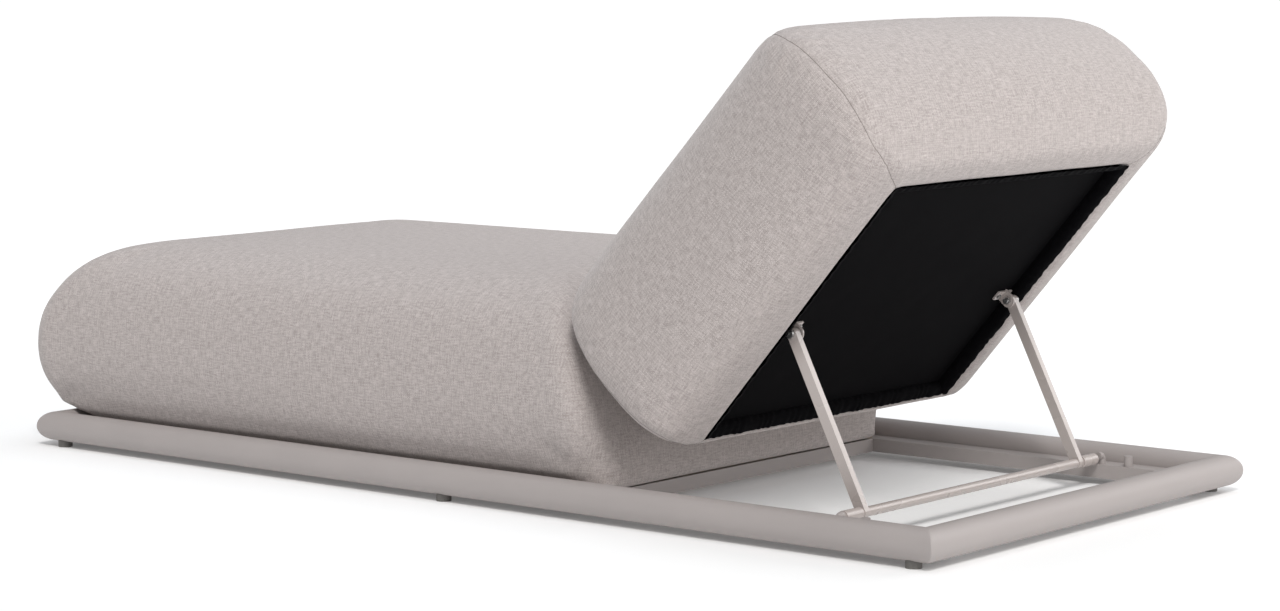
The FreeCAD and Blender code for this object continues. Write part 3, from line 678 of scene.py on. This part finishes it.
def tube_axes():
    """The tube's radius and level, and where the axes of its foot, head and side runs lie."""
    low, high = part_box("foot_rail")
    radius = (high.z - low.z) / 2
    level = (high.z + low.z) / 2
    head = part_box("head_rail")[1].x - radius
    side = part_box("side_rail_left")[1].y - radius
    return radius, level, low.x + radius, head, side


def tube_ring(centre, run, radius, tilt):
    """A ring of points round a tube, tilted like a mitre."""
    outward = run.cross(Vector((0, 0, 1)))
    points = []
    for turn in np.linspace(0, 2 * math.pi, TUBE_POINTS, endpoint=False):
        out = radius * math.cos(turn)
        rise = Vector((0, 0, radius * math.sin(turn)))
        points.append(centre + outward * out + run * (out * tilt) + rise)
    return np.array(points)


def tube_frame():
    """Four round tubes in a ring, rounded a little where they meet."""
    radius, level, foot, head, side = tube_axes()
    corners = [Vector((foot, -side, level)), Vector((head, -side, level)),
               Vector((head, side, level)), Vector((foot, side, level))]
    rings = []
    for corner, following in zip(corners, corners[1:] + corners[:1]):
        run = (following - corner).normalized()
        span = (following - corner).length
        rings.append(tube_ring(corner, run, radius, -1.0))
        for share in MITRE_SHARES:
            rings.append(tube_ring(corner + run * share * radius, run, radius, -1.0))
        for share in RUN_SHARES:
            rings.append(tube_ring(corner + run * share * span, run, radius, 0.0))
        for share in reversed(MITRE_SHARES):
            rings.append(tube_ring(following - run * share * radius, run, radius, 1.0))
    faces = quads(len(rings), TUBE_POINTS, rings=True, loop=True)
    piece = new_piece("tube_frame", np.concatenate(rings), faces, BASE)
    subdivided(piece, TUBE_FINENESS)
    finish(piece, "frame_coat", "base")
    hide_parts("side_rail_left", "side_rail_right", "head_rail", "foot_rail")
    return piece


tube_frame()


# Seat cushion

SEAT_START_INSET = 2 * MILLIMETRE
SEAT_FOOT_INSET = -6 * MILLIMETRE
SEAT_FOOT_CORNER = 52 * MILLIMETRE
SEAT_REAR_CORNER = 34 * MILLIMETRE
SEAT_LOW_CORNER = 90 * MILLIMETRE
SEAT_TUCK_HEIGHT = 100 * MILLIMETRE
SEAT_FOOT_GAP = 9 * MILLIMETRE
SEAT_SIDE_GAP = 24 * MILLIMETRE
SEAT_SWELL = 8 * MILLIMETRE
SEAT_VOXEL = 11 * MILLIMETRE
SEAT_WAVE_LENGTH = 220 * MILLIMETRE
SEAT_RINGS = 70
SEAT_FOOTING_SHARES = (0.0, 0.35, 0.7, 1.0)

# Each row: height above the tube, then how far foot, rear and sides draw in
SEAT_SHARES = (
    (0.060, 0.006, 0.003, 0.092),
    (0.140, -0.014, 0.006, 0.046),
    (0.260, -0.028, 0.016, 0.012),
    (0.390, -0.030, 0.030, 0.001),
    (0.500, -0.018, 0.048, 0.003),
    (0.605, 0.010, 0.070, 0.012),
    (0.700, 0.058, 0.100, 0.030),
    (0.790, 0.112, 0.140, 0.060),
    (0.860, 0.178, 0.180, 0.100),
    (0.915, 0.262, 0.230, 0.165),
    (0.955, 0.380, 0.300, 0.265),
    (0.982, 0.560, 0.410, 0.400),
    (0.998, 0.800, 0.580, 0.570),
    (1.003, 1.050, 0.800, 0.760),
    (1.005, 1.250, 1.000, 0.930),
)


def seat_rows(low, high, tube_top):
    """Rows of level, foot, rear and half width, from the footing between the tubes up to the crown."""
    radius, axis_level, foot_axis, _, side_axis = tube_axes()
    half = high.y
    rows = []
    for share in SEAT_FOOTING_SHARES:
        level = low.z + share * (tube_top - low.z)
        tube = math.sqrt(max(0.0, radius ** 2 - (level - axis_level) ** 2))
        rows.append((level, foot_axis + tube + SEAT_FOOT_GAP, high.x, side_axis - tube - SEAT_SIDE_GAP))
    crown = high.z - SEAT_START_INSET - tube_top
    for height, foot_draw, rear_draw, side_draw in SEAT_SHARES:
        rows.append((tube_top + height * crown,
                     low.x + SEAT_FOOT_INSET + foot_draw * half,
                     high.x - SEAT_START_INSET - rear_draw * half,
                     half * (1 - side_draw) - SEAT_START_INSET))
    return rows


def seat_rings(low, high, tube_top):
    """Rings of the seat's skin, with its rear corners tucked in near the tubes' top."""
    rings = []
    for level, start, stop, reach in filled_rows(seat_rows(low, high, tube_top), SEAT_RINGS):
        corner = min(1.0, reach / high.y)
        lift = level - tube_top
        tucked = 1 - lift / SEAT_TUCK_HEIGHT if lift > 0 else 1 + lift / (tube_top - low.z)
        rear_corner = SEAT_REAR_CORNER + (SEAT_LOW_CORNER - SEAT_REAR_CORNER) * max(0.0, tucked)
        flat = rounded_ring(start, stop, reach, SEAT_FOOT_CORNER * corner, rear_corner * corner)
        rings.append(np.column_stack((flat, np.full(len(flat), level))))
    return rings


def seat_cushion():
    """The seat's crowned cover, nested between the tubes and drawn in over them."""
    low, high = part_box("seat_cushion")
    tube_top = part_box("foot_rail")[1].z
    piece = lofted("seat_cover", seat_rings(low, high, tube_top), BASE)
    remeshed(piece, SEAT_VOXEL)
    points = coordinates(piece.data)
    held = np.clip((tube_top + 2 * SEAT_VOXEL - points[:, 2]) / SEAT_VOXEL, 0, 1)
    swell(piece, held, SEAT_SWELL)
    subdivided(piece)
    uneven(piece, SEAT_WAVE_LENGTH)
    finish(piece, "upholstery", "base")
    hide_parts("seat_cushion")
    return piece


seat_cushion()


# Backrest cushion with the recess in its underside

BACK_START_INSET = 3 * MILLIMETRE
BACK_HEAD_CORNER = 52 * MILLIMETRE
BACK_LOW_CORNER = 48 * MILLIMETRE
BACK_SWELL = 8 * MILLIMETRE
BACK_VOXEL = 9 * MILLIMETRE
BACK_WAVE_LENGTH = 200 * MILLIMETRE
BACK_RINGS = 120
BACK_DEPTH = 326 * MILLIMETRE
RIM_CORNER = 10 * MILLIMETRE
RIM_LIP = 10 * MILLIMETRE
RECESS_ROOM = 30 * MILLIMETRE
RECESS_SIDE_GAP = 2 * MILLIMETRE
SEAM_HOLD = 7 * MILLIMETRE

# Each row, in lips: depth inside the rim, then how far the lower end, head end and sides reach out
RIM_SHARES = (
    (1.00, 0.1, 0.1, 0.1),
    (0.40, 0.3, 0.4, 0.4),
    (0.05, 0.6, 1.5, 1.0),
    (-0.20, 0.8, 3.5, 2.0),
    (0.00, 1.1, 5.2, 3.6),
)

# Each row: depth, then how far the lower end, the head end and the sides draw in
BACK_SHARES = (
    (0.036, 0.028, 0.120, 0.100),
    (0.080, 0.018, 0.082, 0.058),
    (0.140, 0.012, 0.050, 0.030),
    (0.220, 0.004, 0.022, 0.012),
    (0.300, 0.000, 0.004, 0.004),
    (0.400, 0.000, -0.008, 0.002),
    (0.500, 0.000, -0.010, 0.000),
    (0.600, 0.005, -0.008, 0.003),
    (0.680, 0.013, 0.000, 0.010),
    (0.760, 0.026, 0.012, 0.018),
    (0.830, 0.044, 0.034, 0.034),
    (0.890, 0.070, 0.058, 0.060),
    (0.940, 0.108, 0.092, 0.098),
    (0.980, 0.166, 0.138, 0.162),
    (1.012, 0.250, 0.206, 0.264),
    (1.038, 0.370, 0.315, 0.404),
    (1.055, 0.500, 0.450, 0.578),
    (1.064, 0.620, 0.580, 0.760),
    (1.067, 0.700, 0.660, 0.860),
)
FULL_CORNER_SHARE = 0.25
FULL_BOW_SHARE = 0.5
EDGE_BOW_SHARE = 0.4
HEAD_BOW = 12 * MILLIMETRE
FRONT_BOW = 24 * MILLIMETRE
FRONT_SEAM_SHARE = 0.985
SEAM_RISE = 24 * MILLIMETRE


def backrest_rows(low, high, walls, recess_level):
    """Rows of level, low end, head end and half width, from the recess out over the rim to the front."""
    half = high.y
    rows = [(recess_level, *walls)]
    for depth, low_reach, head_reach, side_reach in RIM_SHARES:
        rows.append((low.z + depth * RIM_LIP,
                     walls[0] - low_reach * RIM_LIP,
                     walls[1] + head_reach * RIM_LIP,
                     walls[2] + side_reach * RIM_LIP))
    for depth, low_draw, head_draw, side_draw in BACK_SHARES:
        rows.append((low.z + depth * (BACK_DEPTH - BACK_START_INSET),
                     low.x + BACK_START_INSET + low_draw * half,
                     high.x - BACK_START_INSET - head_draw * half,
                     half * (1 - side_draw) - BACK_START_INSET))
    return rows


def backrest_rings():
    """Rings of the backrest's skin, and those of them that lie outside, from the rim to the front edge."""
    low, high = local_box("backrest_cushion", BACKREST)
    rim_low, rim_high = local_box("backrest_hem", BACKREST)
    half = high.y
    middle = (low.x + high.x) / 2
    walls = (rim_low.x - RECESS_SIDE_GAP, rim_high.x + RECESS_SIDE_GAP, rim_high.y + RECESS_SIDE_GAP)
    rows = backrest_rows(low, high, walls, rim_high.z + RECESS_ROOM)
    rings = []
    outside = []
    for level, start, stop, reach in filled_rows(rows, BACK_RINGS):
        depth_share = max(0.0, (level - low.z) / BACK_DEPTH)
        out = reach > walls[2] + RIM_LIP / 4
        share = min(1.0, reach / half)
        rim_share = (reach - walls[2]) / (half - walls[2])
        opened = min(1.0, max(rim_share, depth_share / FULL_CORNER_SHARE)) if out else 0.0
        corners = [RIM_CORNER + (corner * share - RIM_CORNER) * opened
                   for corner in (BACK_LOW_CORNER, BACK_HEAD_CORNER)]
        flat = rounded_ring(start, stop, reach, *corners)
        span = (stop - start) / 2
        headward = np.clip((flat[:, 0] - (start + stop) / 2) / span, 0, 1)
        centred = 1 - (flat[:, 1] / half) ** 2
        fullness = min(1.0, depth_share / FULL_BOW_SHARE) if out else 0.0
        levels = level - (flat[:, 0] - middle) * math.tan(FRONT_TAPER_ANGLE) * depth_share
        levels += FRONT_BOW * max(0.0, depth_share - FULL_BOW_SHARE) * centred
        flat[:, 0] += HEAD_BOW * fullness * headward * (centred - EDGE_BOW_SHARE)
        rings.append(np.column_stack((flat, levels)))
        if out and depth_share < FRONT_SEAM_SHARE:
            outside.append(rings[-1])
    return rings, outside


def straight_start(path):
    """The path with its first points, over the rim, put on one straight run."""
    lift = path[0][2] + SEAM_RISE
    first = next(index for index, point in enumerate(path) if point[2] > lift)
    return list(np.linspace(path[0], path[first], first + 1)) + path[first + 1:]


def side_seams(outside):
    """Sewn lines round each side: head corner, front edge and low corner, straight over the rim."""
    seams = []
    for low_corner, head_corner in ((0, 1), (3, 2)):
        down = straight_start([ring[CORNER_AT[head_corner]] for ring in outside])
        first, last = CORNER_AT[head_corner], CORNER_AT[low_corner]
        step = 1 if last > first else -1
        front = [outside[-1][index] for index in range(first + step, last, step)]
        up = straight_start([ring[CORNER_AT[low_corner]] for ring in outside])
        seams.append(np.array(down + front + up[::-1]))
    return seams


def backrest_hold(points, seams):
    """How firmly each point is held: in the recess, at the rim and along the seams."""
    rim_low, rim_high = local_box("backrest_hem", BACKREST)
    rim_level = local_box("backrest_cushion", BACKREST)[0].z
    x, y, z = points.T
    held = np.clip((rim_level + 2 * BACK_VOXEL - z) / BACK_VOXEL, 0, 1)
    within = (np.abs(y) < rim_high.y + RIM_LIP) & (x < rim_high.x + RIM_LIP) & (x > rim_low.x - RIM_LIP)
    inside = within & (z < rim_high.z + RECESS_ROOM + BACK_VOXEL)
    held = np.maximum(held, inside.astype(float))
    for path in seams:
        held = np.maximum(held, np.exp(-(distance_to_path(points, path) / SEAM_HOLD) ** 2))
    return held


def backrest_cushion():
    """The backrest's cover: crowned front, drawn-in sides, and a rim round the recess."""
    rings, outside = backrest_rings()
    seams = side_seams(outside)
    piece = lofted("backrest_cover", rings, BACKREST)
    remeshed(piece, BACK_VOXEL)
    swell(piece, backrest_hold(coordinates(piece.data), seams), BACK_SWELL)
    subdivided(piece)
    uneven(piece, BACK_WAVE_LENGTH)
    sewn(piece, [np.array(laid_on(piece, path)) for path in seams])
    thread_material = seam_thread()
    for name, path in zip(("seam_right", "seam_left"), seams):
        line = thread(name, laid_on(piece, path), BACKREST)
        line.data.materials.append(thread_material)
        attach(line, "backrest")
    finish(piece, "upholstery", "backrest")
    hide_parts("backrest_cushion")
    return piece


backrest_cushion()


# Black cloth in the recess, and the gathered hem round it

COVER_COLUMNS = 120
COVER_ROWS = 100
COVER_TAUT_EDGE = 60 * MILLIMETRE
COVER_LIFT = 0.4 * MILLIMETRE
COVER_SLACK = 0.9 * MILLIMETRE

# Each wave: waves per metre, how strong it is, and where in the noise it lies
COVER_WAVES = ((9, 1.0, 0.3), (24, 0.5, 1.7))


def dust_cover(hem):
    """Lining cloth stretched over the board, with slight slack. The hem argument is not used."""
    low, high = local_box("backrest_dust_cover", BACKREST)
    points = []
    for x in np.linspace(low.x, high.x, COVER_COLUMNS):
        for y in np.linspace(low.y, high.y, COVER_ROWS):
            edge = min(x - low.x, high.x - x, y - low.y, high.y - y)
            slack = min(1.0, edge / COVER_TAUT_EDGE)
            wave = sum(share * noise.noise(Vector((x * count, y * count, layer)))
                       for count, share, layer in COVER_WAVES)
            points.append((x, y, low.z + COVER_LIFT + COVER_SLACK * slack * wave))
    piece = new_piece("dust_cover_cloth", points, quads(COVER_COLUMNS, COVER_ROWS), BACKREST)
    finish(piece, "dust_cloth", "backrest")
    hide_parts("backrest_dust_cover")
    return piece


HEM_WIDTH = 15 * MILLIMETRE
HEM_TUCK = 6 * MILLIMETRE
HEM_LOW_TUCK = 1 * MILLIMETRE
HEM_LOW_SINK = 5 * MILLIMETRE
HEM_CORNER = 5 * MILLIMETRE
HEM_PUCKER = 1.9 * MILLIMETRE
HEM_FOLD_LENGTH = 19 * MILLIMETRE
HEM_LIFT = 1.6 * MILLIMETRE
HEM_STEPS = 1100
HEM_SECTION_STEPS = 12
HEM_ROUNDNESS = 2.3
HEM_FOOT = 2 * MILLIMETRE

# Unevenness of the hem: noise counts per metre, strengths, and how its lift differs from its folds
HEM_DRIFT_COUNT = 22
HEM_FOLD_COUNT = 55
HEM_LIFT_COUNT = 45
HEM_CREASE_COUNT = 90
HEM_CREASE_TURNS = 2.5
HEM_DRIFT_TURN = 5
HEM_FOLD_SHARE = 0.25
HEM_LIFT_SHARE = 0.4
HEM_CREASE_SHARE = 0.6
HEM_LIFT_LAG = 0.8
HEM_LIFT_LAYER = Vector((3.1, 0.7, 2.0))


def hem_path():
    """Even spots along the hem, their places round the recess and the way inward from each."""
    low, high = local_box("backrest_hem", BACKREST)
    tuck = RECESS_SIDE_GAP + HEM_TUCK
    low_tuck = RECESS_SIDE_GAP + HEM_LOW_TUCK
    outline = rounded_ring(low.x - low_tuck, high.x + tuck, high.y + tuck, HEM_CORNER, HEM_CORNER)
    loop = np.vstack((outline, outline[:1]))
    lengths = np.concatenate(([0], np.cumsum(np.linalg.norm(np.diff(loop, axis=0), axis=1))))
    spots = np.linspace(0, lengths[-1], HEM_STEPS, endpoint=False)
    path = np.column_stack([np.interp(spots, lengths, loop[:, axis]) for axis in range(2)])
    ahead = np.roll(path, -1, axis=0) - np.roll(path, 1, axis=0)
    ahead /= np.linalg.norm(ahead, axis=1, keepdims=True)
    return spots, path, np.column_stack((-ahead[:, 1], ahead[:, 0]))


def gathered_hem():
    """The puckered roll along the lining's edge, standing against the walls of the recess."""
    low, high = local_box("backrest_hem", BACKREST)
    bottom = high.z + HEM_FOOT
    points = []
    for spot, (x, y), (into_x, into_y) in zip(*hem_path()):
        seed = Vector((x, y, 0.0))
        turn = 2 * math.pi * spot / HEM_FOLD_LENGTH + HEM_DRIFT_TURN * noise.noise(seed * HEM_DRIFT_COUNT)
        fold = HEM_FOLD_SHARE * math.sin(turn) + noise.noise(seed * HEM_FOLD_COUNT)
        lift = HEM_LIFT_SHARE * math.sin(turn + HEM_LIFT_LAG)
        lift += noise.noise(seed * HEM_LIFT_COUNT + HEM_LIFT_LAYER)
        top = low.z + HEM_LIFT * (lift - 1) + HEM_LOW_SINK * max(0.0, into_x)
        for up in np.linspace(1, 0, HEM_SECTION_STEPS):
            across = (1 - up ** HEM_ROUNDNESS) ** (1 / HEM_ROUNDNESS)
            crease = noise.noise(Vector((x * HEM_CREASE_COUNT, y * HEM_CREASE_COUNT, up * HEM_CREASE_TURNS)))
            step = across * (HEM_TUCK + HEM_WIDTH + HEM_PUCKER * (fold + HEM_CREASE_SHARE * crease))
            points.append((x + into_x * step, y + into_y * step, bottom + (top - bottom) * up))
    faces = quads(HEM_STEPS, HEM_SECTION_STEPS, loop=True)
    piece = new_piece("gathered_hem", points, faces, BACKREST)
    finish(piece, "dust_cloth", "backrest")
    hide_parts("backrest_hem")
    return piece


dust_cover(gathered_hem())


# Floor, light and camera

FLOOR_REACH = 60.0
FLOOR_SURFACE = {
    "Base Color": (0.90, 0.90, 0.90, 1),
    "Roughness": 0.8,
    "Specular IOR Level": 0.1,
    "Emission Color": (1, 1, 1, 1),
}
GLOW_REACH = (1.3, 4.0)
GLOW_STRENGTH = (0.10, 0.36)


def studio_floor():
    """A plain pale floor that glows a little more the farther it lies from the lounger."""
    corners = [(-FLOOR_REACH, -FLOOR_REACH, 0), (FLOOR_REACH, -FLOOR_REACH, 0),
               (FLOOR_REACH, FLOOR_REACH, 0), (-FLOOR_REACH, FLOOR_REACH, 0)]
    floor = new_piece("floor", corners, [(0, 1, 2, 3)], BASE)
    made, tree, shader = material("floor")
    set_inputs(shader, FLOOR_SURFACE)
    distance = add(tree, "ShaderNodeVectorMath", ((0, object_spot(tree)),), operation="LENGTH")
    glow = ranged(tree, distance.outputs["Value"], GLOW_REACH, GLOW_STRENGTH)
    tree.links.new(glow, shader.inputs["Emission Strength"])
    floor.data.materials.append(made)


studio_floor()

SKY_COLOUR = (0.97, 0.985, 1.0, 1)
SKY_STRENGTH = 0.36
world = bpy.data.worlds.new("studio")
world.use_nodes = True
set_inputs(world.node_tree.nodes["Background"], {"Color": SKY_COLOUR, "Strength": SKY_STRENGTH})
scene.world = world

KEY_TOWARDS = Vector((0.47, -0.47, 0.74))
KEY_SPREAD = math.radians(18)
KEY_STRENGTH = 1.85
KEY_COLOUR = (1.0, 0.985, 0.965)

# Each panel: place, width, power and colour
PANELS = {
    "overhead": ((-0.3, 0.3, 3.0), 3.0, 36.0, (0.92, 0.98, 1.05)),
    "head_side": ((2.5, 3.1, 1.9), 2.2, 38.0, (1.0, 0.99, 0.98)),
    "low_right": ((4.2, -0.9, 0.8), 1.5, 27.0, (1.0, 0.985, 0.97)),
}
PANEL_TARGET = Vector((0.3, 0.0, 0.3))


def light(name, kind, direction, power, colour):
    """A lamp that shines along a direction."""
    lamp = bpy.data.lights.new(name, kind)
    lamp.energy = power
    lamp.color = colour
    holder = bpy.data.objects.new(name, lamp)
    holder.rotation_euler = direction.to_track_quat("-Z", "Y").to_euler()
    scene.collection.objects.link(holder)
    return holder


key = light("key", "SUN", -KEY_TOWARDS, KEY_STRENGTH, KEY_COLOUR)
key.data.angle = KEY_SPREAD
for name, (place, width, power, colour) in PANELS.items():
    panel = light(name, "AREA", PANEL_TARGET - Vector(place), power, colour)
    panel.data.size = width
    panel.location = place

CAMERA_PLACE = Vector((3.6773, -4.4559, 0.9257))
CAMERA_AZIMUTH = math.radians(38.96)
CAMERA_ELEVATION = math.radians(6.28)
CAMERA_LENS = 92.02
CAMERA_SENSOR = 36.0

right = Vector((math.cos(CAMERA_AZIMUTH), math.sin(CAMERA_AZIMUTH), 0))
back = Vector((math.sin(CAMERA_AZIMUTH) * math.cos(CAMERA_ELEVATION),
               -math.cos(CAMERA_AZIMUTH) * math.cos(CAMERA_ELEVATION), math.sin(CAMERA_ELEVATION)))
camera = bpy.data.objects.new("camera", bpy.data.cameras.new("camera"))
camera.data.lens = CAMERA_LENS
camera.data.sensor_width = CAMERA_SENSOR
turned = Matrix((right, back.cross(right), back)).transposed().to_4x4()
camera.matrix_world = Matrix.Translation(CAMERA_PLACE) @ turned
scene.collection.objects.link(camera)
scene.camera = camera
scene.view_settings.view_transform = "Standard"
